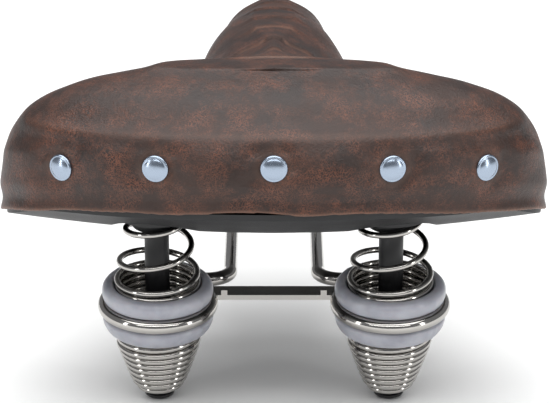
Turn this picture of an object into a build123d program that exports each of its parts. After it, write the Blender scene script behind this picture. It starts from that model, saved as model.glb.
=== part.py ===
from build123d import *
import os
from math import asin, atan2, cos, degrees, hypot, pi, radians, sin, tan

# Bicycle saddle on two coil springs. Millimetres, +Z up, nose towards +Y.
# The origin is midway between the two rails, in the middle of their clamping stretch.

# Rails: one bent wire
rail_diameter = 7
rail_spacing = 44
clamp_length = 70  # straight stretch that the seatpost clamps
rear_bend = 12
slope_bend = 30
nose_bend = 10
loop_radius = 26  # centreline of the loop round each collar
loop_sweep = 300  # degrees of wire round the collar
spring_spacing = 114
spring_lean = 6.5  # degrees, spring tops lean rearwards

# Cross plate welded between the loops
plate_depth = 10
plate_thickness = 2.6
plate_setback = 15  # from the rails' cross run to the middle of the plate
tab_height = 2.6
tab_width = 3

# Elastomer collars, heights above and below the loop
collar_radius = 27.3
collar_top = 11.9
collar_bottom = 13.2
collar_shoulder = 23.6
collar_foot = 21.9
groove_clearance = 0.15

# Springs, heights along the spring's axis from the loop
spring_wire = 3.1
spring_top_radius = 15.2  # outer radii
spring_mouth_radius = 21.3
spring_waist_radius = 21
spring_tip_radius = 9
seat_height = 48.3
tip_depth = 46  # centre of the last turn
cone_run = 7  # from the collar to where the cone narrows
open_turns = 2.6
closed_pitch = 3.4
taper_bias = 1.3  # how late the open turns narrow and rise
rise_bias = 1.15
coil_gap = 0.3

# Guide posts, seats, caps and bolts
post_radius = 6
post_bottom = 38
spigot_depth = 5
seat_thickness = 3
cap_thickness = 2.2
cap_radius = 7.5
bolt_diameter = 5
bolt_head_radius = 4
bolt_head_height = 2
bolt_clearance = 0.1
washer_thickness = 1
nut_height = 4
nut_flats = 8

# Padded body
saddle_width = 266
saddle_length = 264
rear_overhang = 133  # from the clamp's middle to the rear end
wing_y = -58  # where the saddle is widest
waist_y = -43  # where the hem and the base are near their lowest
nose_half_width = 30.5
nose_round = 30
crest_height = 118
crest_y = -70
crest_tilt = 4  # degrees, nose down
cover_thickness = 1.6
pad_gap = 0.3

# Moulded base
base_thickness = 3
boss_height = 8
cup_skirt = 20
cup_clearance = 0.6  # round the widest open turn, which rises into the cup
seat_lip = 0.3
cantle_inset = 13
cantle_top = 92
cantle_front_y = -70

# Nose socket
pivot_setback = 19  # from the nose tip to the rails' cross bar
socket_drop = 8.5  # from the base's underside to the cross bar
socket_width = 18
socket_length = 26
clip_drop = 7
bar_clearance = 0.06
screw_diameter = 4
screw_setback = 9.5
screw_head_radius = 3.6
screw_head_height = 2.2
screw_reach = 8

# Rivets along the rear
rivet_count = 5
rivet_step = 25.3  # degrees round the rear ellipse
rivet_rise = 21.5  # above the hem
rivet_radius = 6.5
rivet_dome = 3
rivet_rim = 0.6
rivet_stem_radius = 1.6
hole_clearance = 0.25
burr_radius = 4.5
burr_thickness = 1

# Places that follow from the sizes above
rear_end_y = -rear_overhang
nose_tip_y = saddle_length - rear_overhang
rail_x = rail_spacing / 2
spring_x = spring_spacing / 2
clamp_half = clamp_length / 2
cross_run_y = -(clamp_half + rear_bend)
lean = radians(spring_lean)
loop_forward = Vector(0, cos(lean), sin(lean))
loop_up = Vector(0, -sin(lean), cos(lean))
loop_centre = Vector(spring_x, cross_run_y, 0) - loop_forward * loop_radius
seat_y = (loop_centre + loop_up * seat_height).Y
pivot_y = nose_tip_y - pivot_setback

# The base's underside is an arch across the saddle: station, lowest height, and rise per square mm
base_stations = [
    (rear_end_y - 9, 64.5, 0.0009),
    (rear_end_y, 60.5, 0.0009),
    (rear_end_y + 13, 53.5, 0.0009),
    (rear_end_y + 33, 44, 0.0009),
    (seat_y, 35.5, 0.00065),
    (waist_y, 31.5, 0.0004),
    (0, 31.5, 0.0004),
    (pivot_y / 2, 37.5, 0.0005),
    (pivot_y, 47.5, 0.0006),
    (nose_tip_y + 9, 56, 0.0006),
]
pivot_z = 47.5 - socket_drop
slope_angle = atan2(pivot_z - slope_bend, pivot_y - clamp_half) + asin(
    slope_bend / hypot(pivot_z - slope_bend, pivot_y - clamp_half)
)
slope_foot_y = clamp_half + slope_bend * tan(slope_angle / 2)

# Lower edge of the cover, seen from the side
hem_points = [
    (rear_end_y - 9, 66.7),
    (rear_end_y, 64),
    (rear_end_y + 43, 51.5),
    (waist_y, 38),
    (0, 33),
    (pivot_y / 2, 37.5),
    (pivot_y, 51),
    (nose_tip_y + 9, 60),
]

# Levels of the padded body: drop below the crest, how far the outline stands in at the wings,
# the rear and the nose, how far its widest point sits back, and how hollow the wing's front is
levels = [
    (100, 5, 7.5, 5, 0, 0),
    (82, 1.5, 3, 2.5, 0, 0),
    (66, 0, 0.5, 0.8, 0, 0),
    (50, 2, 0, 0, 0, 0),
    (38, 4.5, 0.5, 0, 2, 0.1),
    (28, 10, 5, 1, 5, 0.45),
    (20, 17.5, 11.5, 2.8, 9, 0.75),
    (13, 30, 20.5, 6.2, 12, 1),
    (7, 48, 31, 11.5, 14, 1),
    (3, 66, 40.5, 17.8, 16, 1),
    (0, 76, 48, 23.5, 18, 0.9),
]

# Front of the wing: point on the widest outline, the direction it moves in along,
# share of the wing's inset, and the hollow behind it
wing_front = [
    (0.78 * saddle_width / 2, wing_y + 45, 18, 0.8, 13, 28),
    (0.5 * saddle_width / 2, wing_y + 74, 42, 0.45, 21, 40),
    (nose_half_width + 9.5, (wing_y + nose_tip_y) / 2 + 20, 20, 0.12, 1, 10),
]


def level_plane(drop):
    """Plane of one level, tilted down towards the nose."""
    tilt = radians(crest_tilt)
    height = crest_height - drop + crest_y * tan(tilt)
    return Plane(origin=(0, 0, height), x_dir=(1, 0, 0), z_dir=(0, sin(tilt), cos(tilt)))


def padded_stack(inset):
    """Solid of the padded body with its surface moved in by the inset."""
    with BuildPart() as stack:
        for drop, wing, rear, nose, set_back, hollow in levels:
            wing_in, rear_in, nose_in = wing + inset, rear + inset, nose + inset
            half_width = saddle_width / 2 - wing_in
            widest_y = wing_y - set_back
            nose_width = nose_half_width - nose_in
            nose_y = nose_tip_y - nose_round
            front = []
            for x, y, angle, share, hollow_x, hollow_y in wing_front:
                step = wing_in * share + nose_in * (1 - share)
                front_x = x - step * cos(radians(angle)) - hollow * hollow_x
                front_y = y - step * sin(radians(angle)) - hollow * hollow_y
                front.append((front_x, front_y))
            with BuildSketch(level_plane(drop + inset)):
                with BuildLine():
                    depth = widest_y - rear_end_y - rear_in
                    EllipticalCenterArc((0, widest_y), half_width, depth, start_angle=270)
                    Spline(
                        (half_width, widest_y),
                        *front,
                        (nose_width, nose_y),
                        tangents=[(0, 1), (0, 1)],
                    )
                    EllipticalCenterArc((0, nose_y), nose_width, nose_round - nose_in)
                    mirror(about=Plane.YZ)
                make_face()
        loft()
    return stack.part


def above_base(rise):
    """Everything above the base's underside, raised by the given height."""
    reach = 0.7 * saddle_width
    with BuildPart() as above:
        for y, height, arch in base_stations:
            edge = height + rise + arch * reach**2
            with BuildSketch(Plane(origin=(0, y, 0), x_dir=(1, 0, 0), z_dir=(0, -1, 0))):
                with BuildLine():
                    ThreePointArc((-reach, edge), (0, height + rise), (reach, edge))
                    Polyline(
                        (reach, edge),
                        (reach, crest_height + 40),
                        (-reach, crest_height + 40),
                        (-reach, edge),
                    )
                make_face()
        loft()
    return above.part


def cantle_ellipse(inset):
    """Half-axes of the rear outline, moved in by the inset."""
    return saddle_width / 2 - inset, wing_y - rear_end_y - inset


def level_insets(drop):
    """Insets of the wings and the rear between two levels."""
    for below, above in zip(levels, levels[1:]):
        if above[0] <= drop <= below[0]:
            share = (drop - above[0]) / (below[0] - above[0])
            wing = above[1] + (below[1] - above[1]) * share
            rear = above[2] + (below[2] - above[2]) * share
            return wing, rear


def hem_height(y):
    """Height of the hem beside a point, on straight lines between its points."""
    for behind, ahead in zip(hem_points, hem_points[1:]):
        if behind[0] <= y <= ahead[0]:
            share = (y - behind[0]) / (ahead[0] - behind[0])
            return behind[1] + (ahead[1] - behind[1]) * share


def rivet_plane(index):
    """Plane on the cover at one rivet, facing outwards."""
    turn = radians(rivet_step * (index - (rivet_count - 1) / 2))
    half_width, depth = cantle_ellipse(0)
    rivet_height = hem_height(wing_y - depth * cos(turn)) + rivet_rise
    tilted_rise = (crest_y - wing_y + depth * cos(turn)) * tan(radians(crest_tilt))
    wing, rear = level_insets(crest_height + tilted_rise - rivet_height)
    half_width, depth = half_width - wing, depth - rear
    outward = Vector(sin(turn) / half_width, -cos(turn) / depth, 0).normalized()
    origin = (half_width * sin(turn), wing_y - depth * cos(turn), rivet_height)
    return Plane(origin=origin, x_dir=(0, 0, 1), z_dir=outward)


def spring_mount(side):
    """Plane of one rail loop, +1 for the right side and -1 for the left."""
    origin = (side * loop_centre.X, loop_centre.Y, loop_centre.Z)
    return Plane(origin=origin, x_dir=(1, 0, 0), z_dir=loop_up)


def save(part, name):
    """Label a finished piece and write it."""
    part.label = name
    export_step(part, f"parts/{name}.step")


def save_pair(part, name):
    """Write a piece of the spring units once on each side."""
    for side, mount in (("left", spring_mount(-1)), ("right", spring_mount(1))):
        with BuildPart() as placed:
            with Locations(mount):
                add(part)
        save(placed.part, f"{side}_{name}")


def pair_of(part):
    """Both copies of a piece of the spring units, for one shared node."""
    with BuildPart() as placed:
        with Locations(spring_mount(-1), spring_mount(1)):
            add(part)
    return placed.part


os.makedirs("parts", exist_ok=True)

# Rail wire: half from the nose bar to the end of the loop, then mirrored
with BuildPart() as rail_wire:
    with BuildLine() as rail_path:
        FilletPolyline(
            (0, pivot_y, pivot_z),
            (rail_x, pivot_y, pivot_z),
            (rail_x, slope_foot_y, 0),
            (rail_x, cross_run_y, 0),
            (spring_x, cross_run_y, 0),
            radius=[nose_bend, slope_bend, rear_bend],
        )
        loop_points = [
            loop_centre
            + Vector(loop_radius * sin(radians(turn)), 0, 0)
            + loop_forward * (loop_radius * cos(radians(turn)))
            for turn in (0, loop_sweep / 2, loop_sweep)
        ]
        ThreePointArc(*loop_points)
    with BuildSketch(Plane(origin=(0, pivot_y, pivot_z), x_dir=(0, 1, 0), z_dir=(1, 0, 0))):
        Circle(rail_diameter / 2)
    sweep(path=rail_path.wires()[0])
    mirror(about=Plane.YZ)
save(rail_wire.part, "rail_wire")

# Cross plate: flat strip in the loops' plane with its rear corners turned up
plate_middle = Vector(0, cross_run_y, 0) - loop_forward * plate_setback
plate_plane = Plane(origin=plate_middle, x_dir=(1, 0, 0), z_dir=loop_up)
plate_half = spring_x - loop_radius
with BuildPart() as cross_plate:
    with BuildSketch(plate_plane.offset(-plate_thickness / 2)):
        Rectangle(2 * plate_half, plate_depth)
    extrude(amount=plate_thickness)
    with BuildSketch(plate_plane.offset(plate_thickness / 2)):
        with Locations(
            (-plate_half + rail_diameter / 2 + tab_width, -plate_depth / 2 + plate_thickness / 2),
            (plate_half - rail_diameter / 2 - tab_width, -plate_depth / 2 + plate_thickness / 2),
        ):
            Rectangle(tab_width, plate_thickness)
    extrude(amount=tab_height)
    add(rail_wire.part, mode=Mode.SUBTRACT)
save(cross_plate.part, "cross_plate")

# Elastomer collar, about its own axis, with the groove that the loop lies in
groove_half = rail_diameter / 2 + groove_clearance
groove_radius = loop_radius - groove_half
with BuildPart() as elastomer:
    with BuildSketch(Plane.XZ):
        with BuildLine():
            Polyline(
                (groove_radius, groove_half),
                (groove_radius, -groove_half),
                (loop_radius, -groove_half),
            )
            ThreePointArc(
                (loop_radius, -groove_half),
                (collar_radius - 0.4, -(groove_half + collar_bottom) / 2),
                (collar_foot, -collar_bottom),
            )
            Polyline(
                (collar_foot, -collar_bottom),
                (spring_waist_radius + coil_gap, -collar_bottom),
                (spring_waist_radius + coil_gap, 0),
                (spring_mouth_radius + coil_gap, collar_top),
                (collar_shoulder, collar_top),
            )
            ThreePointArc(
                (collar_shoulder, collar_top),
                (collar_radius, (groove_half + collar_top) / 2),
                (loop_radius, groove_half),
            )
            Line((loop_radius, groove_half), (groove_radius, groove_half))
        make_face()
    revolve(axis=Axis.Z)
save_pair(elastomer.part, "elastomer")

# Spring: open tapering turns above the collar, tight-wound turns through it and in the cone below
spring_top_z = seat_height - coil_gap - spring_wire / 2
mouth_z = collar_top + spring_wire / 2
closed_turns = (mouth_z + tip_depth) / closed_pitch
cone_shoulder_z = -(collar_bottom + cone_run)


def spring_radius(height):
    """Centreline radius at a height on the spring's axis."""
    if height > mouth_z:
        share = (height - mouth_z) / (spring_top_z - mouth_z)
        narrowing = (spring_mouth_radius - spring_top_radius) * share**taper_bias
        outer = spring_mouth_radius - narrowing
    elif height > 0:
        share = height / mouth_z
        outer = spring_waist_radius + (spring_mouth_radius - spring_waist_radius) * share
    elif height > cone_shoulder_z:
        outer = spring_waist_radius
    else:
        share = (cone_shoulder_z - height) / (cone_shoulder_z + tip_depth)
        rounded = 0.74 * share + 0.26 * share**10
        outer = spring_waist_radius + (spring_tip_radius - spring_waist_radius) * rounded
    return outer - spring_wire / 2


spring_points = []
points_per_turn = 12
for step in range(round((open_turns + closed_turns) * points_per_turn) + 1):
    turn = step / points_per_turn
    if turn < closed_turns:
        height = -tip_depth + turn * closed_pitch
    else:
        rest = (turn - closed_turns) / open_turns
        start_rise = closed_pitch * open_turns
        total_rise = spring_top_z - mouth_z
        middle_rise = total_rise - start_rise
        late = rest**rise_bias
        height = mouth_z + start_rise * rest + middle_rise * (3 * late**2 - 2 * late**3)
    radius = spring_radius(height)
    spring_points.append((radius * cos(2 * pi * turn), radius * sin(2 * pi * turn), height))
with BuildPart() as spring:
    with BuildLine() as coil_path:
        Spline(*spring_points)
    with BuildSketch(Plane(origin=coil_path.line @ 0, z_dir=coil_path.line % 0)):
        Circle(spring_wire / 2)
    sweep(path=coil_path.line, is_frenet=True)
save_pair(spring.part, "spring")

# Spring seat: flanged cup with a spigot inside the top turn and a pocket for the post
bolt_hole = bolt_diameter / 2 + bolt_clearance
spigot_radius = spring_top_radius - spring_wire - coil_gap
with BuildPart() as spring_seat:
    with BuildSketch(Plane.XY.offset(seat_height)):
        Circle(spring_top_radius + seat_lip)
    extrude(amount=seat_thickness)
    with BuildSketch(Plane.XY.offset(seat_height - spigot_depth)):
        Circle(spigot_radius)
    extrude(amount=spigot_depth)
    with BuildSketch(Plane.XY.offset(seat_height - spigot_depth)):
        Circle(post_radius + bolt_clearance)
    extrude(amount=spigot_depth, mode=Mode.SUBTRACT)
    with BuildSketch(Plane.XY.offset(seat_height)):
        Circle(bolt_hole)
    extrude(amount=seat_thickness, mode=Mode.SUBTRACT)
save_pair(spring_seat.part, "spring_seat")

# Guide post: tube from the seat down inside the spring
with BuildPart() as guide_post:
    with BuildSketch(Plane.XY.offset(-post_bottom)):
        Circle(post_radius)
        Circle(bolt_hole, mode=Mode.SUBTRACT)
    extrude(amount=post_bottom + seat_height)
save_pair(guide_post.part, "guide_post")

# Tip cap: rounded cap under the last turn, with a stem up to the post
cap_top_z = -tip_depth - spring_wire / 2 - coil_gap
cap_bottom_z = cap_top_z - cap_thickness
stem_radius = spring_tip_radius - spring_wire - coil_gap
with BuildPart() as tip_cap:
    with BuildSketch(Plane.XY.offset(cap_bottom_z)):
        Circle(cap_radius)
    extrude(amount=cap_thickness)
    fillet(tip_cap.edges().sort_by(Axis.Z)[0], cap_thickness * 0.7)
    with BuildSketch(Plane.XY.offset(cap_top_z)):
        Circle(stem_radius)
    extrude(amount=-post_bottom - cap_top_z)
    with BuildSketch(Plane.XY.offset(cap_bottom_z)):
        Circle(bolt_hole)
    extrude(amount=-post_bottom - cap_bottom_z, mode=Mode.SUBTRACT)
    with BuildSketch(Plane.XY.offset(cap_bottom_z)):
        Circle(bolt_head_radius + bolt_clearance)
    extrude(amount=bolt_head_height, mode=Mode.SUBTRACT)
save_pair(tip_cap.part, "tip_cap")

# Bolt through cap, post, seat and boss, with a washer and nut on top
boss_top_z = seat_height + seat_thickness + boss_height
nut_bottom_z = boss_top_z + washer_thickness
bolt_end_z = nut_bottom_z + nut_height + 1
head_seat_z = cap_bottom_z + bolt_head_height
with BuildPart() as spring_bolt:
    with BuildSketch(Plane.XY.offset(cap_bottom_z)):
        Circle(bolt_head_radius)
        RegularPolygon(1.7, 6, mode=Mode.SUBTRACT)
    extrude(amount=bolt_head_height)
    with BuildSketch(Plane.XY.offset(head_seat_z)):
        Circle(bolt_diameter / 2)
    extrude(amount=bolt_end_z - head_seat_z)
save_pair(spring_bolt.part, "spring_bolt")

with BuildPart() as bolt_washer:
    with BuildSketch(Plane.XY.offset(boss_top_z)):
        Circle(bolt_diameter)
        Circle(bolt_hole, mode=Mode.SUBTRACT)
    extrude(amount=washer_thickness)
save(pair_of(bolt_washer.part), "bolt_washers")

with BuildPart() as bolt_nut:
    with BuildSketch(Plane.XY.offset(nut_bottom_z)):
        RegularPolygon(nut_flats / 2, 6, major_radius=False)
        Circle(bolt_diameter / 2, mode=Mode.SUBTRACT)
    extrude(amount=nut_height)
save(pair_of(bolt_nut.part), "bolt_nuts")

# Rivets: domed head outside, stem through to a burr behind the base's cantle wall
burr_depth = cantle_inset + base_thickness - 2.5
stem_length = burr_depth + burr_thickness + 1
with BuildPart() as rivet:
    with BuildSketch(Plane.XZ):
        with BuildLine():
            ThreePointArc(
                (0, rivet_dome),
                (rivet_radius * 0.62, rivet_dome * 0.72),
                (rivet_radius, 0),
            )
            Polyline(
                (rivet_radius, 0),
                (rivet_radius, -rivet_rim),
                (rivet_stem_radius, -rivet_rim),
                (rivet_stem_radius, -stem_length),
                (0, -stem_length),
                (0, rivet_dome),
            )
        make_face()
    revolve(axis=Axis.Z)
with BuildPart() as rear_rivets:
    with Locations(*[rivet_plane(index) for index in range(rivet_count)]):
        add(rivet.part)
save(rear_rivets.part, "rear_rivets")

with BuildPart() as rivet_burrs:
    for index in range(rivet_count):
        with BuildSketch(rivet_plane(index).offset(-burr_depth)):
            Circle(burr_radius)
            Circle(rivet_stem_radius, mode=Mode.SUBTRACT)
        extrude(amount=-burr_thickness)
save(rivet_burrs.part, "rivet_burrs")

# Cover: skin of the padded body, open below, cut to the hem line
outer_stack = padded_stack(0)
lining_stack = padded_stack(cover_thickness)
with BuildPart() as cover:
    add(outer_stack)
    add(lining_stack, mode=Mode.SUBTRACT)
    with BuildSketch(Plane.YZ):
        with BuildLine():
            Spline(*hem_points)
            Polyline(
                hem_points[-1],
                (hem_points[-1][0], crest_height + 20),
                (hem_points[0][0], crest_height + 20),
                hem_points[0],
            )
        make_face()
    extrude(amount=saddle_width, both=True, mode=Mode.INTERSECT)
    add(rear_rivets.part, mode=Mode.SUBTRACT)
save(cover.part, "cover")

# Base: arched plate inside the skin, with cups for the spring seats, a cantle wall at the rear
# and the upper half of the nose socket
core = padded_stack(cover_thickness + pad_gap)
above_underside = above_base(0)
above_plate = above_base(base_thickness)
above_pad_floor = above_base(base_thickness + pad_gap)
with BuildPart() as base_plate:
    add(core)
    add(above_underside, mode=Mode.INTERSECT)
    add(above_plate, mode=Mode.SUBTRACT)

boss_foot_z = seat_height + seat_thickness
pocket_radius = spring_mouth_radius + cup_clearance
cup_radius = pocket_radius + base_thickness


def cantle_wall(gap):
    """Upright wall round the rear, thickened and raised by the gap."""
    with BuildPart() as wall:
        with BuildSketch(Plane.XY):
            for inset, mode in (
                (cantle_inset - gap, Mode.ADD),
                (cantle_inset + base_thickness + gap, Mode.SUBTRACT),
            ):
                half_width, depth = cantle_ellipse(inset)
                with BuildLine():
                    EllipticalCenterArc(
                        (0, wing_y), half_width, depth, start_angle=180, arc_size=180
                    )
                    Line((half_width, wing_y), (-half_width, wing_y))
                make_face(mode=mode)
        extrude(amount=cantle_top + gap)
        with BuildSketch(Plane.XY):
            with Locations((0, cantle_front_y + gap)):
                Rectangle(2 * saddle_width, rear_overhang, align=(Align.CENTER, Align.MIN))
        extrude(amount=cantle_top + gap, mode=Mode.SUBTRACT)
    return wall.part


def spring_cups(gap):
    """Both bosses over the spring seats, thickened and raised by the gap."""
    with BuildPart() as cups:
        for side in (-1, 1):
            with BuildSketch(spring_mount(side).offset(boss_foot_z - cup_skirt)):
                Circle(cup_radius + gap)
            extrude(amount=cup_skirt + boss_height + gap)
    return cups.part


with BuildPart() as nose_socket:
    with BuildSketch(Plane.XY.offset(pivot_z)):
        with Locations((0, pivot_y)):
            Rectangle(socket_width, socket_length)
    extrude(amount=3 * socket_drop)
    add(above_plate, mode=Mode.SUBTRACT)

with BuildPart() as base_shell:
    add(cantle_wall(0))
    add(spring_cups(0))
    add(above_underside, mode=Mode.INTERSECT)
    add(base_plate.part)
    for side in (-1, 1):
        with BuildSketch(spring_mount(side).offset(boss_foot_z)):
            Circle(pocket_radius)
        extrude(amount=boss_height)
        with BuildSketch(spring_mount(side).offset(boss_foot_z)):
            Circle(pocket_radius)
        extrude(amount=-3 * cup_skirt, mode=Mode.SUBTRACT)
        with BuildSketch(spring_mount(side).offset(boss_foot_z)):
            Circle(bolt_hole)
        extrude(amount=boss_height, mode=Mode.SUBTRACT)
    add(nose_socket.part)
    with BuildSketch(Plane.YZ):
        with Locations((pivot_y, pivot_z)):
            Circle(rail_diameter / 2 + bar_clearance)
    extrude(amount=socket_width, both=True, mode=Mode.SUBTRACT)
    with BuildSketch(Plane.XY.offset(pivot_z)):
        with Locations((0, pivot_y - screw_setback), (0, pivot_y + screw_setback)):
            Circle(screw_diameter / 2)
    extrude(amount=screw_reach, mode=Mode.SUBTRACT)
    for index in range(rivet_count):
        with BuildSketch(rivet_plane(index).offset(-burr_depth)):
            Circle(burr_radius)
        extrude(amount=-burr_thickness - 2, mode=Mode.SUBTRACT)
        with BuildSketch(rivet_plane(index).offset(-stem_length)):
            Circle(rivet_stem_radius + hole_clearance)
        extrude(amount=stem_length, mode=Mode.SUBTRACT)
save(base_shell.part, "base_shell")

# Foam pad: fills the skin above the base
with BuildPart() as foam_pad:
    add(core)
    add(above_pad_floor, mode=Mode.INTERSECT)
    add(cantle_wall(pad_gap), mode=Mode.SUBTRACT)
    add(spring_cups(pad_gap), mode=Mode.SUBTRACT)
    for side in (-1, 1):
        with BuildSketch(spring_mount(side).offset(boss_top_z)):
            Circle(nut_flats)
        extrude(amount=bolt_end_z - boss_top_z + pad_gap, mode=Mode.SUBTRACT)
    for index in range(rivet_count):
        with BuildSketch(rivet_plane(index).offset(-stem_length - pad_gap)):
            Circle(burr_radius + pad_gap)
        extrude(amount=stem_length + pad_gap, mode=Mode.SUBTRACT)
        with BuildSketch(rivet_plane(index).offset(-rivet_rim - pad_gap)):
            Circle(rivet_radius + pad_gap)
        extrude(amount=4 * rivet_dome, mode=Mode.SUBTRACT)
save(foam_pad.part, "foam_pad")

# Clip: lower half of the nose socket, held by two screws from below
with BuildPart() as nose_rail_clip:
    with BuildSketch(Plane.XY.offset(pivot_z - clip_drop)):
        with Locations((0, pivot_y)):
            RectangleRounded(socket_width, socket_length, 3)
    extrude(amount=clip_drop)
    with BuildSketch(Plane.YZ):
        with Locations((pivot_y, pivot_z)):
            Circle(rail_diameter / 2 + bar_clearance)
    extrude(amount=socket_width, both=True, mode=Mode.SUBTRACT)
    with Locations(
        (0, pivot_y - screw_setback, pivot_z - clip_drop),
        (0, pivot_y + screw_setback, pivot_z - clip_drop),
    ):
        Cylinder(
            screw_diameter / 2 + bolt_clearance,
            clip_drop,
            align=(Align.CENTER, Align.CENTER, Align.MIN),
            mode=Mode.SUBTRACT,
        )
        Cylinder(
            screw_head_radius + bolt_clearance,
            screw_head_height,
            align=(Align.CENTER, Align.CENTER, Align.MIN),
            mode=Mode.SUBTRACT,
        )
save(nose_rail_clip.part, "nose_rail_clip")

with BuildPart() as clip_screws:
    with BuildSketch(Plane.XY.offset(pivot_z - clip_drop)):
        with Locations((0, pivot_y - screw_setback), (0, pivot_y + screw_setback)):
            Circle(screw_head_radius)
            RegularPolygon(1.6, 6, mode=Mode.SUBTRACT)
    extrude(amount=screw_head_height)
    with BuildSketch(Plane.XY.offset(pivot_z - clip_drop + screw_head_height)):
        with Locations((0, pivot_y - screw_setback), (0, pivot_y + screw_setback)):
            Circle(screw_diameter / 2)
    extrude(amount=clip_drop - screw_head_height + screw_reach - 0.5)
save(clip_screws.part, "clip_screws")
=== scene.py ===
from math import cos, exp, pi, radians, sin, tan
import bpy
import numpy as np
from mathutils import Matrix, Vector, noise


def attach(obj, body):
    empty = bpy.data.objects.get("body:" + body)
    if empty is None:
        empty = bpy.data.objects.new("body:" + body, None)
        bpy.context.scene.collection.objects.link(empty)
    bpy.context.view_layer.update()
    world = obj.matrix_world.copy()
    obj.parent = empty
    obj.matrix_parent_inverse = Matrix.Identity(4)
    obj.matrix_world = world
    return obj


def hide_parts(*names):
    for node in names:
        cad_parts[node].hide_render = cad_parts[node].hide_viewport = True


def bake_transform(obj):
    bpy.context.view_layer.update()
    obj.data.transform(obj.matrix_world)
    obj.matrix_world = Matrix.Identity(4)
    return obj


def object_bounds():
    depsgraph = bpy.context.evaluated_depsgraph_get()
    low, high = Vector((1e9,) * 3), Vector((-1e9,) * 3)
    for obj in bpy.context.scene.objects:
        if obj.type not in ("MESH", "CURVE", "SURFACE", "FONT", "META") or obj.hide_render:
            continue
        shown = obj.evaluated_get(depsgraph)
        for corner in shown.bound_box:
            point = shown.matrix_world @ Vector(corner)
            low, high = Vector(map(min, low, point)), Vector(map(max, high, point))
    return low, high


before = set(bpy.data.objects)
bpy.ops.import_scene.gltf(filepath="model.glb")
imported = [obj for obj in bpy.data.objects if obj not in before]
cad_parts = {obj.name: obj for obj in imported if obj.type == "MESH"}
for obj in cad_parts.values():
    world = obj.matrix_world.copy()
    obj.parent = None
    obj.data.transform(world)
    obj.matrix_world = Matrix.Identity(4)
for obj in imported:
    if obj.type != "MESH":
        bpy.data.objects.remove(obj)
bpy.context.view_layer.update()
mm = 0.001
print("frame loaded")

# camera: behind the saddle and a little above, looking towards the nose
view = {"elevation": 18.5, "distance": 1.40, "lookAt": (0.0005, -0.073, 0.0497), "lens": 188.8}


def makeCamera():
    cameraData = bpy.data.cameras.new("viewCamera")
    cameraData.lens = view["lens"]
    cameraData.sensor_width = 36
    camera = bpy.data.objects.new("viewCamera", cameraData)
    bpy.context.collection.objects.link(camera)
    tilt = radians(view["elevation"])
    away = Vector((0, -cos(tilt), sin(tilt)))
    camera.location = Vector(view["lookAt"]) + away * view["distance"]
    camera.rotation_euler = (-away).to_track_quat("-Z", "Y").to_euler()
    bpy.context.scene.camera = camera


makeCamera()


# materials
def linear(hexColour):
    channels = [int(hexColour[i:i + 2], 16) / 255 for i in (1, 3, 5)]
    return [c / 12.92 if c <= 0.04045 else ((c + 0.055) / 1.055) ** 2.4 for c in channels] + [1]


def addNode(tree, kind, settings=(), links=()):
    new = tree.nodes.new(kind)
    for name, value in dict(settings).items():
        if isinstance(name, str) and hasattr(new, name):
            setattr(new, name, value)
        else:
            new.inputs[name].default_value = value
    for name, source in dict(links).items():
        tree.links.new(source, new.inputs[name])
    return new


def perMetre(size):
    # pattern scale for a real size in millimetres
    return 1000 / size


def startMaterial(name, hexColour, metallic, roughness):
    material = bpy.data.materials.new(name)
    material.use_nodes = True
    tree = material.node_tree
    shader = tree.nodes["Principled BSDF"]
    shader.inputs["Base Color"].default_value = linear(hexColour)
    shader.inputs["Metallic"].default_value = metallic
    shader.inputs["Roughness"].default_value = roughness
    place = addNode(tree, "ShaderNodeTexCoord").outputs["Object"]
    return material, tree, shader, place


def colourRamp(tree, source, stops):
    ramp = addNode(tree, "ShaderNodeValToRGB", links={"Fac": source})
    ramp.color_ramp.elements[0].position = stops[0][0]
    ramp.color_ramp.elements[0].color = linear(stops[0][1])
    ramp.color_ramp.elements[1].position = stops[-1][0]
    ramp.color_ramp.elements[1].color = linear(stops[-1][1])
    for position, hexColour in stops[1:-1]:
        ramp.color_ramp.elements.new(position).color = linear(hexColour)
    return ramp.outputs["Color"]


# PU leatherette, embossed and rubbed: dark brown with rusty veins and a fine pebble, satin
# the lighter worn colour marks rubbed ribs and hem, and is also painted highlight on the rear ridge and
# beside the rivets
leather = {"ground": "#33211A", "dark": "#221612", "rust": "#70422F", "wornAndPaintedHighlightColour": "#7E5A48",
           "blotch": 26, "vein": 1.3, "pebble": 1.2, "warp": 3.333, "patch": 14.286, "crease": 2.381,
           "warpReach": 0.006, "veinWidth": 0.16, "relief": 0.0006, "roughness": (0.38, 0.52)}


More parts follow.
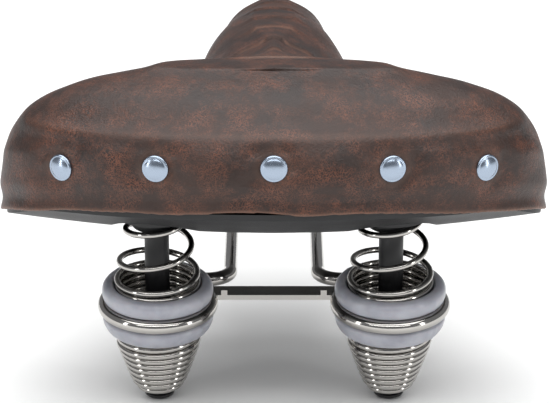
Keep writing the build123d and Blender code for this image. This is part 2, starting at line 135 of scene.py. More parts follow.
def makeLeatherette():
    material, tree, shader, place = startMaterial("leatherette", leather["ground"], 0, 0.45)
    shader.inputs["IOR"].default_value = 1.5
    shader.inputs["Specular IOR Level"].default_value = 0.42
    blotch = addNode(tree, "ShaderNodeTexNoise", {"Scale": perMetre(leather["blotch"]), "Detail": 5,
                     "Roughness": 0.62}, {"Vector": place})  # blotches 26 mm across
    ground = colourRamp(tree, blotch.outputs["Fac"],
                        [(0.33, leather["dark"]), (0.62, leather["ground"])])
    warp = addNode(tree, "ShaderNodeTexNoise", {"Scale": perMetre(leather["warp"]), "Detail": 3},
                   {"Vector": place})
    bent = addNode(tree, "ShaderNodeVectorMath", {"operation": "MULTIPLY_ADD",
                   1: (leather["warpReach"],) * 3}, {0: warp.outputs["Color"], 2: place})
    vein = addNode(tree, "ShaderNodeTexVoronoi", {"feature": "DISTANCE_TO_EDGE",
                   "Scale": perMetre(leather["vein"])}, {"Vector": bent.outputs[0]})
    thin = addNode(tree, "ShaderNodeMapRange", {"From Min": 0.0, "From Max": leather["veinWidth"],
                   "To Min": 1, "To Max": 0}, {"Value": vein.outputs["Distance"]})
    patch = addNode(tree, "ShaderNodeTexNoise", {"Scale": perMetre(leather["patch"]), "Detail": 4,
                    "Roughness": 0.7}, {"Vector": place})  # veins come and go over about 14 mm
    patchEdge = addNode(tree, "ShaderNodeMapRange", {"From Min": 0.42, "From Max": 0.68},
                        {"Value": patch.outputs["Fac"]})
    rubbed = addNode(tree, "ShaderNodeMath", {"operation": "MULTIPLY"},
                     {0: thin.outputs[0], 1: patchEdge.outputs[0]})
    rusty = addNode(tree, "ShaderNodeMix", {"data_type": "RGBA", 7: linear(leather["rust"])},
                    {0: rubbed.outputs[0], 6: ground})
    # lighter colour from a per-point attribute: rubbed ribs and hem, plus painted highlight on the rear
    # ridge and beside the rivets
    wearAndPaintedHighlight = addNode(tree, "ShaderNodeAttribute", {"attribute_name": "wearAndPaintedHighlight"})
    wornAndPaintedHighlightMix = addNode(tree, "ShaderNodeMix", {"data_type": "RGBA", 7: linear(leather["wornAndPaintedHighlightColour"])},
                      {0: wearAndPaintedHighlight.outputs["Fac"], 6: rusty.outputs[2]})
    tree.links.new(wornAndPaintedHighlightMix.outputs[2], shader.inputs["Base Color"])
    pebble = addNode(tree, "ShaderNodeTexVoronoi", {"Scale": perMetre(leather["pebble"]),
                     "feature": "SMOOTH_F1"}, {"Vector": bent.outputs[0]})  # pebbles 1.2 mm
    crease = addNode(tree, "ShaderNodeTexNoise", {"Scale": perMetre(leather["crease"]), "Detail": 6,
                     "Roughness": 0.7}, {"Vector": place})
    height = addNode(tree, "ShaderNodeMath", {"operation": "MULTIPLY_ADD", 1: 0.6},
                     {0: pebble.outputs["Distance"], 2: crease.outputs["Fac"]})
    bump = addNode(tree, "ShaderNodeBump", {"Strength": 0.5, "Distance": leather["relief"]},
                   {"Height": height.outputs[0]})
    tree.links.new(bump.outputs[0], shader.inputs["Normal"])
    gloss = addNode(tree, "ShaderNodeMapRange", {"From Min": 0.3, "From Max": 0.7,
                    "To Min": leather["roughness"][0], "To Max": leather["roughness"][1]},
                    {"Value": blotch.outputs["Fac"]})
    tree.links.new(gloss.outputs[0], shader.inputs["Roughness"])
    return material


# Black-nickel plated spring steel: mirror bright, grey with a warm cast
def makeBlackNickel():
    material, tree, shader, place = startMaterial("blackNickelPlate", "#B0ADA9", 1, 0.09)
    haze = addNode(tree, "ShaderNodeTexNoise", {"Scale": perMetre(1.111), "Detail": 3},
                   {"Vector": place})
    gloss = addNode(tree, "ShaderNodeMapRange", {"To Min": 0.06, "To Max": 0.16},
                    {"Value": haze.outputs["Fac"]})  # plating haze
    tree.links.new(gloss.outputs[0], shader.inputs["Roughness"])
    ripple = addNode(tree, "ShaderNodeTexNoise", {"Scale": perMetre(6.25), "Detail": 2},
                     {"Vector": place})
    bump = addNode(tree, "ShaderNodeBump", {"Strength": 0.12, "Distance": 0.0004},
                   {"Height": ripple.outputs["Fac"]})  # drawn wire is not quite even
    tree.links.new(bump.outputs[0], shader.inputs["Normal"])
    return material


# Polished nickel rivets: bluish and bright, hazed by buffing
def makePolishedNickel():
    material, tree, shader, place = startMaterial("polishedNickel", "#9AA6B6", 1, 0.2)
    buff = addNode(tree, "ShaderNodeTexNoise", {"Scale": perMetre(0.7143), "Detail": 4},
                   {"Vector": place})
    gloss = addNode(tree, "ShaderNodeMapRange", {"To Min": 0.16, "To Max": 0.3},
                    {"Value": buff.outputs["Fac"]})
    tree.links.new(gloss.outputs[0], shader.inputs["Roughness"])
    return material


# Cast polyurethane: silver grey with fine metal flake, satin from its mould
def makeCastUrethane():
    material, tree, shader, place = startMaterial("castUrethane", "#85868F", 0, 0.36)
    shader.inputs["IOR"].default_value = 1.49
    shader.inputs["Coat Weight"].default_value = 0.25
    shader.inputs["Coat Roughness"].default_value = 0.2
    shader.inputs["Subsurface Weight"].default_value = 0.08
    shader.inputs["Subsurface Scale"].default_value = 0.002
    cloud = addNode(tree, "ShaderNodeTexNoise", {"Scale": perMetre(11.11), "Detail": 4},
                    {"Vector": place})
    tone = colourRamp(tree, cloud.outputs["Fac"], [(0.3, "#8B8C95"), (0.7, "#A6A7AF")])
    tree.links.new(tone, shader.inputs["Base Color"])
    flake = addNode(tree, "ShaderNodeTexNoise", {"Scale": perMetre(0.4), "Detail": 2},
                    {"Vector": place})
    bump = addNode(tree, "ShaderNodeBump", {"Strength": 0.12, "Distance": 0.0002},
                   {"Height": flake.outputs["Fac"]})
    tree.links.new(bump.outputs[0], shader.inputs["Normal"])
    return material


# Injection-moulded polypropylene: black, spark-eroded texture about 0.5 mm
def makeMoulded(name, hexColour, grain, roughness):
    material, tree, shader, place = startMaterial(name, hexColour, 0, roughness)
    shader.inputs["IOR"].default_value = 1.49
    texture = addNode(tree, "ShaderNodeTexNoise", {"Scale": perMetre(grain), "Detail": 4},
                      {"Vector": place})
    bump = addNode(tree, "ShaderNodeBump", {"Strength": 0.3, "Distance": 0.0003},
                   {"Height": texture.outputs["Fac"]})
    tree.links.new(bump.outputs[0], shader.inputs["Normal"])
    flow = addNode(tree, "ShaderNodeTexNoise", {"Scale": perMetre(45.45), "Detail": 3},
                   {"Vector": place})
    gloss = addNode(tree, "ShaderNodeMapRange", {"To Min": roughness - 0.08,
                    "To Max": roughness + 0.1}, {"Value": flow.outputs["Fac"]})
    tree.links.new(gloss.outputs[0], shader.inputs["Roughness"])
    return material


# Zinc-plated steel: dull bluish grey with a crystalline bloom
def makeZincPlate():
    material, tree, shader, place = startMaterial("zincPlate", "#A6A9AE", 1, 0.34)
    bloom = addNode(tree, "ShaderNodeTexVoronoi", {"Scale": perMetre(1.4286)}, {"Vector": place})
    gloss = addNode(tree, "ShaderNodeMapRange", {"To Min": 0.26, "To Max": 0.42},
                    {"Value": bloom.outputs["Distance"]})
    tree.links.new(gloss.outputs[0], shader.inputs["Roughness"])
    return material


# Brushed nylon backing of the leatherette: pale grey, fibrous
def makeBacking():
    material, tree, shader, place = startMaterial("knitBacking", "#8C8782", 0, 0.9)
    fibre = addNode(tree, "ShaderNodeTexNoise", {"Scale": perMetre(0.6667), "Detail": 5},
                    {"Vector": place})
    tone = colourRamp(tree, fibre.outputs["Fac"], [(0.35, "#6F6A66"), (0.7, "#A6A19B")])
    tree.links.new(tone, shader.inputs["Base Color"])
    bump = addNode(tree, "ShaderNodeBump", {"Strength": 0.4, "Distance": 0.0003},
                   {"Height": fibre.outputs["Fac"]})
    tree.links.new(bump.outputs[0], shader.inputs["Normal"])
    return material


leatherette = makeLeatherette()
blackNickel = makeBlackNickel()
polishedNickel = makePolishedNickel()
castUrethane = makeCastUrethane()
basePlastic = makeMoulded("mouldedBase", "#111113", 0.5, 0.5)
nylon = makeMoulded("mouldedNylon", "#0E0E10", 0.3, 0.42)
zincPlate = makeZincPlate()
knitBacking = makeBacking()
print("materials made")


def makeMesh(name, points, faces, material, smooth=True):
    mesh = bpy.data.meshes.new(name)
    mesh.from_pydata([tuple(p) for p in points], [], [tuple(f) for f in faces])
    mesh.validate()
    mesh.materials.append(material)
    mesh.polygons.foreach_set("use_smooth", [smooth] * len(mesh.polygons))
    piece = bpy.data.objects.new(name, mesh)
    bpy.context.collection.objects.link(piece)
    return piece


# CAD nodes that keep their shape
for nodeName, material in {
    "rail_wire": blackNickel, "cross_plate": blackNickel, "base_shell": basePlastic,
    "left_spring_seat": nylon, "right_spring_seat": nylon, "left_guide_post": nylon,
    "right_guide_post": nylon, "left_tip_cap": nylon, "right_tip_cap": nylon,
    "left_spring_bolt": zincPlate, "right_spring_bolt": zincPlate, "bolt_washers": zincPlate,
    "bolt_nuts": zincPlate, "rivet_burrs": zincPlate, "nose_rail_clip": nylon,
    "clip_screws": zincPlate,
}.items():
    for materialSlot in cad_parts[nodeName].material_slots:
        materialSlot.material = material

# cover: padded skin, drawn as rings round the saddle from the hem to the crest
coverShape = {
    "width": 266, "rearEnd": -133, "noseTip": 131, "wingY": -58, "noseHalf": 30.5, "noseRound": 30,
    "crest": 118, "crestY": -70, "crestTilt": 4,
    # drop, inset at wings, rear and nose, set back, hollow
    "levels": [(100, 5, 7.5, 5, 0, 0), (82, 1.5, 3, 2.5, 0, 0), (66, 0, 0.5, 0.8, 0, 0),
               (50, 2, 0, 0, 0, 0), (38, 4.5, 0.5, 0, 2, 0.1), (28, 10, 5, 1, 5, 0.45),
               (20, 17.5, 11.5, 2.8, 9, 0.75), (13, 30, 20.5, 6.2, 12, 1), (7, 48, 31, 11.5, 14, 1),
               (3, 66, 40.5, 17.8, 16, 1), (0, 76, 48, 23.5, 18, 0.9)],
    # x, y, facing angle, share of the wing's inset, reach of the hollow in x and y
    "front": [(103.74, -13, 18, 0.8, 13, 28), (66.5, 16, 42, 0.45, 21, 40),
              (40, 56.5, 20, 0.12, 1, 10)],
    # y and height of the lower edge
    "hem": [(-142, 66.7), (-133, 64), (-90, 51.5), (-43, 38), (0, 33), (56, 37.5), (112, 51),
            (140, 60)],
    "rearColumns": 110, "frontColumns": 70, "noseColumns": 30, "rows": 110, "crownRows": 14,
    "puff": 2.0, "rivetRadius": 6.5, "rivetRise": 21.5, "rivetTurns": (-50.6, -25.3, 0, 25.3, 50.6),
    "ridgeHeight": 99, "crownRise": 1.1, "ribs": [86, 67, 43, 18, -11, -39, -60],
    "hemThickness": 1.8, "hemDepth": 9, "hemEdge": 0.45, "hemWorn": 0.45,
    "backingInset": 3.0, "backingDepth": 7, "backingDrop": 0.5, "backingEdge": 0.6,
}
# relief worked into the skin, in mm: heights, then where each one peaks and how wide it is
relief = {
    "bandFrom": (4, 14), "bandTo": (28, 37), "bandFade": (-78, -52),  # padded band round the rivets
    "rearFade": (-100, -60), "dimpleReach": 9, "ridgeBow": 0.00035,
    # the third entry on the next line is a painted highlight: lighter colour along the ledge under the
    # rear ridge
    "ridge": (1.5, -2, 3.2), "valley": (1.1, 5.5, 4.5), "ridgePaintedHighlight": (0.10, -1, 1.6),
    "ribTop": (0.55, 0.85), "ribSpan": 20, "ribSpanChange": 6, "ribBow": 0.006,
    "ribGroove": (0.9, 0, 1.5), "ribSwell": (0.5, 3.2, 2.4), "ribWear": (0.5, 1.6, 0.8),
    "hemRoll": (0.9, 0, 3), "hemNeck": (0.7, 7, 4), "hemWear": (0.55, 0, 0.8),
    "hemFade": 12, "hemWave": 1.8, "wavePerMm": 0.03,
    "softWaves": ((0.022, 1.0), (0.07, 0.28)), "softness": 0.7,
    # the last entry on the next line is a painted highlight: a lighter ring just beside each rivet
    "pucker": (1.3, 9, 6), "puckerPerMm": 0.16, "rivetPaintedHighlight": (0.12, 8, 1.5),
}


def smoothCurve(knots, values, at):
    # natural cubic through the knots, one column of values each
    knots = np.asarray(knots, float)
    values = np.asarray(values, float)
    count = len(knots)
    gap = np.diff(knots)
    system = np.zeros((count, count))
    right = np.zeros(values.shape)
    system[0, 0] = system[-1, -1] = 1
    for i in range(1, count - 1):
        system[i, i - 1:i + 2] = gap[i - 1], 2 * (gap[i - 1] + gap[i]), gap[i]
        right[i] = 6 * ((values[i + 1] - values[i]) / gap[i] - (values[i] - values[i - 1]) / gap[i - 1])
    bend = np.linalg.solve(system, right.reshape(count, -1)).reshape(values.shape)
    at = np.asarray(at, float)
    i = np.clip(np.searchsorted(knots, at, side="right") - 1, 0, count - 2)
    shape = (-1,) + (1,) * (values.ndim - 1)
    h = gap[i].reshape(shape)
    a = (knots[i + 1] - at).reshape(shape) / h
    b = (at - knots[i]).reshape(shape) / h
    return (a * values[i] + b * values[i + 1]
            + ((a ** 3 - a) * bend[i] + (b ** 3 - b) * bend[i + 1]) * h * h / 6)


def halfRing(level):
    drop, wing, rear, nose, setBack, hollow = level
    halfWidth = coverShape["width"] / 2 - wing
    widest = coverShape["wingY"] - setBack
    depth = widest - coverShape["rearEnd"] - rear
    turn = np.linspace(0, pi / 2, coverShape["rearColumns"])
    points = [np.stack([halfWidth * np.sin(turn), widest - depth * np.cos(turn)], 1)]
    noseWidth = coverShape["noseHalf"] - nose
    noseY = coverShape["noseTip"] - coverShape["noseRound"]
    knots = [(halfWidth, widest - 0.5), (halfWidth, widest)]
    for x, y, angle, share, hollowX, hollowY in coverShape["front"]:
        step = wing * share + nose * (1 - share)
        knots.append((x - step * cos(radians(angle)) - hollow * hollowX,
                      y - step * sin(radians(angle)) - hollow * hollowY))
    knots += [(noseWidth, noseY), (noseWidth, noseY + 0.5)]
    knots = np.array(knots)
    along = np.concatenate([[0], np.cumsum(np.linalg.norm(np.diff(knots, axis=0), axis=1))])
    stops = np.linspace(along[1], along[-2], coverShape["frontColumns"])[1:]
    points.append(smoothCurve(along, knots, stops))
    turn = np.linspace(0, pi / 2, coverShape["noseColumns"])[1:]
    noseDepth = coverShape["noseRound"] - nose
    points.append(np.stack([noseWidth * np.cos(turn), noseY + noseDepth * np.sin(turn)], 1))
    flat = np.concatenate(points)
    slope = tan(radians(coverShape["crestTilt"]))
    height = coverShape["crest"] - drop + (coverShape["crestY"] - flat[:, 1]) * slope
    return np.column_stack([flat, height])


def hemHeight(y):
    hem = np.array(coverShape["hem"], float)
    return smoothCurve(hem[:, 0], hem[:, 1], np.ravel(y)).reshape(np.shape(y))


def rivetPlace(turnAt):
    # a rivet's seat on the skin and its outward direction
    turn = radians(turnAt)
    halfWidth, depth = coverShape["width"] / 2, coverShape["wingY"] - coverShape["rearEnd"]
    hem = np.array(coverShape["hem"], float)
    height = float(np.interp(coverShape["wingY"] - depth * cos(turn), hem[:, 0], hem[:, 1]))
    height += coverShape["rivetRise"]
    rise = coverShape["crestY"] - coverShape["wingY"] + depth * cos(turn)
    rise *= tan(radians(coverShape["crestTilt"]))
    drop = coverShape["crest"] + rise - height
    levels = coverShape["levels"]
    for below, above in zip(levels, levels[1:]):
        if above[0] <= drop <= below[0]:
            share = (drop - above[0]) / (below[0] - above[0])
            halfWidth -= above[1] + (below[1] - above[1]) * share
            depth -= above[2] + (below[2] - above[2]) * share
            break
    outward = Vector((sin(turn) / halfWidth, -cos(turn) / depth, 0)).normalized()
    return Vector((halfWidth * sin(turn), coverShape["wingY"] - depth * cos(turn), height)), outward


rivetPlaces = [rivetPlace(turnAt) for turnAt in coverShape["rivetTurns"]]


def step(low, high, value):
    t = np.clip((value - low) / (high - low), 0, 1)
    return t * t * (3 - 2 * t)


def makeCover():
    rings = np.stack([halfRing(level) for level in coverShape["levels"]])
    levelAt = np.arange(len(rings), dtype=float)
    dense = np.linspace(0, len(rings) - 1, 400)
    column = smoothCurve(levelAt, rings, dense)  # dense levels x half columns x 3
    rows, columns = coverShape["rows"], rings.shape[1]
    grid = np.zeros((rows, columns, 3))
    for j in range(columns):
        above = column[:, j, 2] - hemHeight(column[:, j, 1])
        start = dense[np.argmax(above > 0)]
        path = smoothCurve(levelAt, rings[:, j], np.linspace(start, dense[-1], 600))
        length = np.concatenate([[0], np.cumsum(np.linalg.norm(np.diff(path, axis=0), axis=1))])
        at = np.interp(np.linspace(0, length[-1], rows), length, np.arange(600))
        low = np.floor(at).astype(int).clip(0, 598)
        part = (at - low)[:, None]
        grid[:, j] = path[low] * (1 - part) + path[low + 1] * part
    crown = []
    for i in range(1, coverShape["crownRows"] + 1):
        inward = 1 - i / coverShape["crownRows"]
        row = grid[-1].copy()
        row[:, 0] *= inward
        row[:, 2] += coverShape["crownRise"] * (1 - inward ** 2)
        crown.append(row)
    half = np.concatenate([grid, np.stack(crown)])
    mirrored = half[:, -2:0:-1].copy()
    mirrored[..., 0] *= -1
    return np.concatenate([half, mirrored], axis=1)


def normalsOf(surface):
    along = np.roll(surface, -1, 1) - np.roll(surface, 1, 1)
    up = np.gradient(surface, axis=0)
    normal = np.cross(along, up)
    size = np.linalg.norm(normal, axis=2, keepdims=True)
    return normal / np.maximum(size, 1e-6)


def peak(shape, value):
    height, middle, width = shape
    return height * np.exp(-((value - middle) / width) ** 2)


def softRelief(p):
    waves = [noise.noise(Vector(p * perMm)) * share for perMm, share in relief["softWaves"]]
    return sum(waves) * relief["softness"]


def shapeCover(surface):
    normal = normalsOf(surface)
    x, y, z = surface[..., 0], surface[..., 1], surface[..., 2]
    spots = np.array([place for place, outward in rivetPlaces])
    reach = np.min([np.linalg.norm(surface - s, axis=2) for s in spots], axis=0)
    above = z - hemHeight(y)
    band = (step(*relief["bandFrom"], above) * (1 - step(*relief["bandTo"], above))
            * (1 - step(*relief["bandFade"], y)))
    rear = 1 - step(*relief["rearFade"], y)
    clear = np.maximum(reach - coverShape["rivetRadius"], 0) / relief["dimpleReach"]
    lift = coverShape["puff"] * band * (1 - np.exp(-clear ** 2))
    overRidge = z - (coverShape["ridgeHeight"] - relief["ridgeBow"] * x ** 2)
    lift += rear * (peak(relief["ridge"], overRidge) - peak(relief["valley"], overRidge))
    # painted highlight: lighter colour along the ledge under the rear ridge, where the skin faces up
    wearAndPaintedHighlight = rear * peak(relief["ridgePaintedHighlight"], overRidge)
    onTop = step(*relief["ribTop"], normal[..., 2])
    for ribY in coverShape["ribs"]:
        span = relief["ribSpan"] + relief["ribSpanChange"] * sin(ribY)
        across = onTop * np.exp(-(x / span) ** 4)
        offset = y - ribY + relief["ribBow"] * x ** 2
        lift += across * (peak(relief["ribSwell"], offset) - peak(relief["ribGroove"], offset))
        wearAndPaintedHighlight += across * peak(relief["ribWear"], offset)
    lift += peak(relief["hemRoll"], above) - peak(relief["hemNeck"], above)
    wearAndPaintedHighlight += peak(relief["hemWear"], above)
    pucker = band * peak(relief["pucker"], reach)
    for i, j in np.ndindex(lift.shape):
        p = surface[i, j]
        lift[i, j] += softRelief(p) + pucker[i, j] * noise.noise(Vector(p * relief["puckerPerMm"] + 7))
    perMm = relief["wavePerMm"]
    wave = np.array([noise.noise(Vector((a * perMm, b * perMm, 3.0))) for a, b in zip(x[0], y[0])])
    shaped = surface + normal * lift[..., None]
    fade = np.exp(-np.maximum(above, 0) / relief["hemFade"])
    shaped[..., 2] += fade * relief["hemWave"] * wave[None, :]
    # painted highlight: lighter ring in the dimple just beside each rivet
    wearAndPaintedHighlight += peak(relief["rivetPaintedHighlight"], reach)
    return shaped, normalsOf(shaped), np.clip(wearAndPaintedHighlight, 0, 1)


def closeHem(shaped, normal, thickness, depth):
    # the raw edge turns under and runs a little way up the inside
    edge, out = shaped[0], normal[0].copy()
    out[:, 2] = 0
    out /= np.maximum(np.linalg.norm(out, axis=1, keepdims=True), 1e-6)
    up, low = np.array([0, 0, depth]), np.array([0, 0, -coverShape["hemEdge"]])
    return np.stack([edge - out * thickness + up, edge - out * thickness,
                     edge - out * thickness * 0.75 + low, edge - out * thickness * 0.25 + low])


def gridFaces(rows, columns):
    faces = []
    for i in range(rows - 1):
        for j in range(columns):
            k = (j + 1) % columns
            low, high = i * columns, (i + 1) * columns
            faces.append((low + j, low + k, high + k, high + j))
    return faces


def buildCover():
    shaped, normal, wearAndPaintedHighlight = shapeCover(makeCover())
    hem = closeHem(shaped, normal, coverShape["hemThickness"], coverShape["hemDepth"])
    full = np.concatenate([hem, shaped])
    # per-point lightening: real rubbing at ribs and hem, painted highlight on the rear ridge and beside
    # the rivets
    fullWearAndPaintedHighlight = np.concatenate([np.full(hem.shape[:2], coverShape["hemWorn"]), wearAndPaintedHighlight])
    rows, columns = full.shape[:2]
    cover = makeMesh("padded_cover", full.reshape(-1, 3) * mm, gridFaces(rows, columns), leatherette)
    attribute = cover.data.attributes.new("wearAndPaintedHighlight", "FLOAT", "POINT")
    attribute.data.foreach_set("value", fullWearAndPaintedHighlight.reshape(-1).astype(np.float32))
    cover.data.update()
    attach(cover, "saddle_top")
    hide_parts("cover", "foam_pad")
    # pale knitted backing that shows as a thin line under the raw edge
    inner = closeHem(shaped, normal, coverShape["backingInset"], coverShape["backingDepth"])
    inner[1:, :, 2] -= coverShape["backingDrop"]
    outer = hem[1] + np.array([0, 0, -coverShape["backingEdge"]])
    strip = np.stack([inner[0], inner[1], outer, hem[0]])
    backing = makeMesh("cover_backing", strip.reshape(-1, 3) * mm, gridFaces(4, columns), knitBacking)
    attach(backing, "saddle_top")


buildCover()
print("cover made")

# springs, collars and their shared axis
springUnit = {
    "x": 57, "y": -72.83, "z": -2.94, "lean": 6.5, "wire": 3.1,
    "topRadius": 15.2, "mouthRadius": 21.3, "waistRadius": 21, "tipRadius": 9,
    "seat": 48.3, "gap": 0.3, "tip": 46, "openTurns": 2.6, "pitch": 3.4, "coneRun": 7,
    "taperBias": 1.3, "riseBias": 1.15, "collarTop": 11.9, "collarBottom": 13.2,
    "stepsPerTurn": 40, "sides": 14,
}


def onAxis(side, points):
    # from a spring's own axes to the saddle's, in metres
    lean = radians(springUnit["lean"])
    forward, up = Vector((0, cos(lean), sin(lean))), Vector((0, -sin(lean), cos(lean)))
    origin = Vector((side * springUnit["x"], springUnit["y"], springUnit["z"]))
    return [(origin + Vector((p[0], 0, 0)) + forward * p[1] + up * p[2]) * mm for p in points]


def coilRadius(height):
    s = springUnit
    mouth = s["collarTop"] + s["wire"] / 2
    top = s["seat"] - s["gap"] - s["wire"] / 2
    shoulder = -(s["collarBottom"] + s["coneRun"])
    if height > mouth:
        share = min(1, (height - mouth) / (top - mouth))
        outer = s["mouthRadius"] + (s["topRadius"] - s["mouthRadius"]) * share ** s["taperBias"]
    elif height > 0:
        outer = s["waistRadius"] + (s["mouthRadius"] - s["waistRadius"]) * height / mouth
    elif height > shoulder:
        outer = s["waistRadius"]
    else:
        share = (shoulder - height) / (s["tip"] + shoulder)
        narrowing = 0.74 * share + 0.26 * share ** 10  # straight cone, turned in at its tip
        outer = s["waistRadius"] + (s["tipRadius"] - s["waistRadius"]) * narrowing
    return outer - s["wire"] / 2


def coilPath():
    s = springUnit
    mouth = s["collarTop"] + s["wire"] / 2
    top = s["seat"] - s["gap"] - s["wire"] / 2
    closedTurns = (mouth + s["tip"]) / s["pitch"]
    count = round((closedTurns + s["openTurns"]) * s["stepsPerTurn"])
    points = []
    for i in range(count + 1):
        turn = i / s["stepsPerTurn"]
        if turn < closedTurns:
            height = -s["tip"] + turn * s["pitch"]
        else:
            rest = (turn - closedTurns) / s["openTurns"]
            late = min(1, rest) ** s["riseBias"]
            start = s["pitch"] * s["openTurns"]
            height = mouth + start * rest + (top - mouth - start) * (3 * late ** 2 - 2 * late ** 3)
        radius = coilRadius(height)
        points.append(Vector((radius * cos(2 * pi * turn), radius * sin(2 * pi * turn), height)))
    return points


def tubeAlong(path, radius, sides):
    rings, last = [], len(path) - 1
    for i, point in enumerate(path):
        tangent = (path[min(i + 1, last)] - path[max(i - 1, 0)]).normalized()
        outward = Vector((point.x, point.y, 0)).normalized()
        side = tangent.cross(outward).normalized()
        outward = side.cross(tangent)
        ends = min(i, last - i)
        width = radius * (1 if ends > 1 else (0.82, 0.97)[ends])  # clipped ends, slightly rounded
        for k in range(sides):
            turn = 2 * pi * k / sides
            rings.append(point + outward * (width * cos(turn)) + side * (width * sin(turn)))
    faces = [(i * sides + k, i * sides + (k + 1) % sides, (i + 1) * sides + (k + 1) % sides,
              (i + 1) * sides + k) for i in range(last) for k in range(sides)]
    faces.append(tuple(range(sides - 1, -1, -1)))
    faces.append(tuple(last * sides + k for k in range(sides)))
    return rings, faces


def buildSprings():
    path = coilPath()
    split = min(range(len(path)), key=lambda i: abs(path[i].z + 1))
    for side, name in ((-1, "left"), (1, "right")):
        for part, points, fixed, moving in (
            ("cone", path[:split + 1], -12, -springUnit["tip"] - 2),
            ("coils", path[split:], springUnit["collarTop"] - 2, springUnit["seat"] - 2),
        ):
            rings, faces = tubeAlong(points, springUnit["wire"] / 2, springUnit["sides"])
            piece = makeMesh(f"{name}_spring_{part}", onAxis(side, rings), faces, blackNickel)
            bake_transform(piece)
            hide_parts(f"{name}_spring")


collar = {"radius": 27.3, "grooveRadius": 22.5, "grooveHalf": 3.6, "shoulder": 23.2, "foot": 21.8,
          "bore": 0.3, "lip": 2.2, "lipRound": 0.9, "lipDrop": 0.35, "lipHeight": 1.6, "mouthRound": 0.5,
          "columns": 160, "bulgeSteps": 18, "footSteps": 12,
          "partingTurn": (-38, 142), "partingHeight": 0.35, "partingWidth": 3.2}


def collarProfile():
    s, c = springUnit, collar
    bore, mouth = s["waistRadius"] + c["bore"], s["mouthRadius"] + c["bore"]
    lip = c["radius"] - c["lip"]
    profile = [(mouth, s["collarTop"] - 1.0), (mouth + c["mouthRound"], s["collarTop"] - 0.2)]
    half = (s["collarTop"] - c["grooveHalf"]) / 2
    for i in range(c["bulgeSteps"] + 1):
        turn = pi / 2 - pi * i / c["bulgeSteps"]
        start = c["shoulder"] if turn > 0 else lip
        profile.append((start + (c["radius"] - start) * cos(turn) ** 0.75,
                        c["grooveHalf"] + half * (1 + sin(turn))))
    # groove that the rail lies in
    profile += [(c["grooveRadius"], c["grooveHalf"] - 0.3), (c["grooveRadius"], -c["grooveHalf"] + 0.3),
                (lip, -c["grooveHalf"]), (c["radius"] - c["lipRound"], -c["grooveHalf"] - c["lipDrop"])]
    fall = s["collarBottom"] - c["grooveHalf"] - c["lipHeight"]
    for i in range(c["footSteps"] + 1):
        turn = pi / 2 * i / c["footSteps"]
        profile.append((c["foot"] + (c["radius"] - c["foot"]) * cos(turn),
                        -c["grooveHalf"] - c["lipHeight"] - fall * sin(turn)))
    return profile + [(bore + c["mouthRound"], -s["collarBottom"] + 0.2),
                      (bore, -s["collarBottom"] + 1.0), (bore, 0)]


def buildCollars():
    profile = collarProfile()
    columns, rows = collar["columns"], len(profile)
    for side, name in ((-1, "left"), (1, "right")):
        points = []
        for j in range(columns):
            around = 360 * j / columns
            parting = max(exp(-((around - turn + 180) % 360 - 180) ** 2 / collar["partingWidth"])
                          for turn in collar["partingTurn"])
            for radius, height in profile:
                outside = radius > collar["grooveRadius"] + collar["mouthRound"]
                proud = collar["partingHeight"] * parting if outside else 0
                turn = radians(around)
                points.append(((radius + proud) * cos(turn), (radius + proud) * sin(turn), height))
        faces = [(j * rows + i, ((j + 1) % columns) * rows + i,
                  ((j + 1) % columns) * rows + (i + 1) % rows, j * rows + (i + 1) % rows)
                 for j in range(columns) for i in range(rows)]
        piece = makeMesh(f"{name}_collar", onAxis(side, points), faces, castUrethane)
        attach(piece, "rail_frame")
        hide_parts(f"{name}_elastomer")


buildSprings()
buildCollars()
print("springs and collars made")

# rivets: turned heads with a rolled rim and a shallow dome
rivetShape = {"radius": 6.5, "columns": 64}


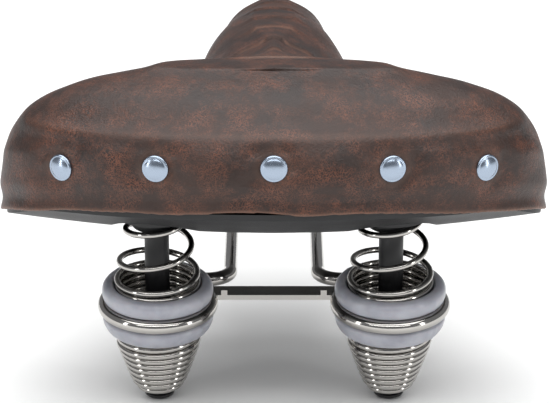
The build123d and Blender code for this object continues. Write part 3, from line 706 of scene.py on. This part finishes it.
def buildRivets():
    profile = [(0, 2.9), (1.5, 2.83), (3, 2.6), (4.3, 2.2), (5.0, 1.85), (5.35, 1.6), (5.6, 1.62),
               (5.95, 1.62), (6.25, 1.4), (6.45, 1.0), (6.5, 0.5), (6.4, -0.2), (6.0, -0.5)]
    columns = rivetShape["columns"]
    points, faces = [], []
    for origin, outward in rivetPlaces:
        sideways = Vector((0, 0, 1)).cross(outward).normalized()
        upward = outward.cross(sideways)
        first = len(points)
        for radius, height in profile:
            for k in range(columns):
                turn = 2 * pi * k / columns
                points.append((origin + outward * height + sideways * (radius * cos(turn))
                               + upward * (radius * sin(turn))) * mm)
        for i in range(len(profile) - 1):
            for k in range(columns):
                n = (k + 1) % columns
                faces.append((first + i * columns + k, first + (i + 1) * columns + k,
                              first + (i + 1) * columns + n, first + i * columns + n))
    rivets = makeMesh("rivet_heads", points, faces, polishedNickel)
    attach(rivets, "saddle_top")
    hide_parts("rear_rivets")


buildRivets()
print("rivets made")

# floor, light and background
stage = {"floorDrop": 0.0006, "floorHalf": 6, "floorColour": "#F6F6F5",
         "worldColour": "#F4F6FA", "worldStrength": 0.3}
lights = [
    {"name": "topSoftbox", "at": (0.0, 0.0, 2.2), "aim": (0, 0, 0),
     "size": (3.6, 3.2), "power": 100},
    {"name": "floorSoftbox", "at": (0.0, -1.5, 1.1), "aim": (0, -0.45, -0.05),
     "size": (2.4, 0.25), "power": 8},
    {"name": "leftSoftbox", "at": (-1.3, -0.8, 0.35), "aim": (0, -0.08, -0.02),
     "size": (0.18, 0.9), "power": 3.5},
    {"name": "rightSoftbox", "at": (1.3, -0.8, 0.35), "aim": (0, -0.08, -0.02),
     "size": (0.18, 0.9), "power": 3.5},
]


def makeStage():
    low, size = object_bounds()[0][2], stage["floorHalf"]
    corners = [(-size, -size, low), (size, -size, low), (size, size, low), (-size, size, low)]
    paint = makeMoulded("paintedFloor", stage["floorColour"], 3, 0.7)
    floor = makeMesh("floor", corners, [(0, 1, 2, 3)], paint, False)
    floor.location.z = -stage["floorDrop"]
    world = bpy.data.worlds.new("studio")
    world.use_nodes = True
    world.node_tree.nodes["Background"].inputs["Color"].default_value = linear(stage["worldColour"])
    world.node_tree.nodes["Background"].inputs["Strength"].default_value = stage["worldStrength"]
    bpy.context.scene.world = world
    for light in lights:
        data = bpy.data.lights.new(light["name"], "AREA")
        data.shape = "RECTANGLE"
        data.size, data.size_y = light["size"]
        data.energy = light["power"]
        lamp = bpy.data.objects.new(light["name"], data)
        bpy.context.collection.objects.link(lamp)
        lamp.location = light["at"]
        aim = Vector(light["aim"]) - lamp.location
        lamp.rotation_euler = aim.to_track_quat("-Z", "Y").to_euler()
    bpy.context.scene.view_settings.view_transform = "Standard"


makeStage()
print("stage made")
